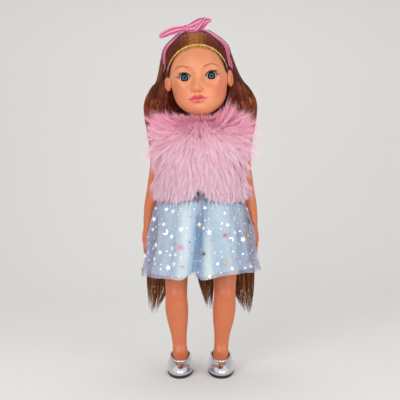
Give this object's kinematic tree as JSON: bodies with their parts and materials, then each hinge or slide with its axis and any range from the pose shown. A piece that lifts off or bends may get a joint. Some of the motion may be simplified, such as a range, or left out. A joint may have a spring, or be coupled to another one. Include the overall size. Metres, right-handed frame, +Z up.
{
  "type": "vinyl play doll",
  "caption": "Standing play doll in vinyl with sleep eyes and swinging limbs, in a faux fur gilet, a net-covered skirt, a bow headband and metallic pumps.",
  "frame": {"origin": "on the floor between the shoes, at the centre of the box that holds the whole doll", "axes": "+Z up, the doll faces -Y, her left is +X"},
  "size_m": [0.1608, 0.1232, 0.472],
  "materials": {
    "skin_vinyl": "soft sheen, blushed on the cheeks",
    "hard_plastic": "matt",
    "eye_white": "clear gloss over a grey-blue iris",
    "lash_hair": "matt",
    "steel": "satin",
    "brown_hair": "combed, soft sheen",
    "golden_hair": "combed, soft sheen",
    "pink_satin": "satin",
    "pink_fur": "long soft pile",
    "net": "sheer",
    "blue_satin": "satin",
    "silver_leather": "metallic gloss",
    "black_rubber": "matt",
    "lining": "matt"
  },
  "bodies": {
    "torso": {"torso_shell": "skin_vinyl", "dress_bodice": "blue_satin", "skirt_waistband": "blue_satin", "satin_skirt": "blue_satin", "net_overskirt": "net", "gilet_left_front": "pink_fur", "gilet_right_front": "pink_fur", "gilet_back": "pink_fur", "gilet_collar": "pink_fur", "gilet_hook": "steel", "gilet_bar": "steel", "hair_fall_left": "brown_hair", "hair_fall_middle": "brown_hair", "hair_fall_right": "brown_hair"},
    "neck": {"neck_plug": "hard_plastic"},
    "head": {"head_shell": "skin_vinyl", "left_eye_socket": "hard_plastic", "right_eye_socket": "hard_plastic", "left_eye_pin": "steel", "right_eye_pin": "steel", "hair_cap": "brown_hair", "hairline_braid": "golden_hair", "headband": "pink_satin", "bow_knot": "pink_satin", "bow_left_end": "pink_satin", "bow_right_end": "pink_satin"},
    "left_eye": {"left_eyeball": "eye_white", "left_eyelid": "skin_vinyl", "left_eyelashes": "lash_hair", "left_eye_weight": "steel"},
    "left_arm": {"left_arm": "skin_vinyl", "left_shoulder_plug": "hard_plastic"},
    "left_leg": {"left_leg": "skin_vinyl", "left_hip_plug": "hard_plastic", "left_shoe_upper": "silver_leather", "left_shoe_rim": "silver_leather", "left_shoe_sole": "black_rubber", "left_shoe_insole": "lining"},
    "right_eye": {"right_eyeball": "eye_white", "right_eyelid": "skin_vinyl", "right_eyelashes": "lash_hair", "right_eye_weight": "steel"},
    "right_arm": {"right_arm": "skin_vinyl", "right_shoulder_plug": "hard_plastic"},
    "right_leg": {"right_leg": "skin_vinyl", "right_hip_plug": "hard_plastic", "right_shoe_upper": "silver_leather", "right_shoe_rim": "silver_leather", "right_shoe_sole": "black_rubber", "right_shoe_insole": "lining"}
  },
  "joints": [
    {"name": "neck_turn", "type": "hinge", "parent": "torso", "child": "neck", "pos_m": [0, 0.004, 0.349], "axis": [0, 0, 1], "range_deg": [-80, 80], "deforming": ["hair_fall_left", "hair_fall_middle", "hair_fall_right"]},
    {"name": "head_tilt", "type": "hinge", "parent": "neck", "child": "head", "pos_m": [0, 0.004, 0.349], "axis": [0, 1, 0], "range_deg": [-3.5, 12.5]},
    {"name": "left_eye_close", "type": "hinge", "parent": "head", "child": "left_eye", "pos_m": [0.01425, -0.0225, 0.39225], "axis": [0.9969, 0, 0.0785], "range_deg": [0, 54]},
    {"name": "right_eye_close", "type": "hinge", "parent": "head", "child": "right_eye", "pos_m": [-0.02084, -0.0225, 0.38949], "axis": [0.9969, 0, 0.0785], "range_deg": [0, 54]},
    {"name": "left_shoulder", "type": "hinge", "parent": "torso", "child": "left_arm", "pos_m": [0.0535, 0.002, 0.308], "axis": [-1, 0, 0], "continuous": true, "deforming": ["gilet_left_front", "gilet_right_front", "gilet_back", "gilet_collar"]},
    {"name": "right_shoulder", "type": "hinge", "parent": "torso", "child": "right_arm", "pos_m": [-0.0535, 0.002, 0.308], "axis": [-1, 0, 0], "continuous": true, "deforming": ["gilet_left_front", "gilet_right_front", "gilet_back", "gilet_collar"]},
    {"name": "left_hip", "type": "hinge", "parent": "torso", "child": "left_leg", "pos_m": [0.033, 0.0012, 0.204], "axis": [-1, 0, 0], "range_deg": [-25, 85], "deforming": ["satin_skirt", "net_overskirt"]},
    {"name": "right_hip", "type": "hinge", "parent": "torso", "child": "right_leg", "pos_m": [-0.033, 0.0012, 0.204], "axis": [-1, 0, 0], "range_deg": [-25, 85], "deforming": ["satin_skirt", "net_overskirt"]}
  ]
}
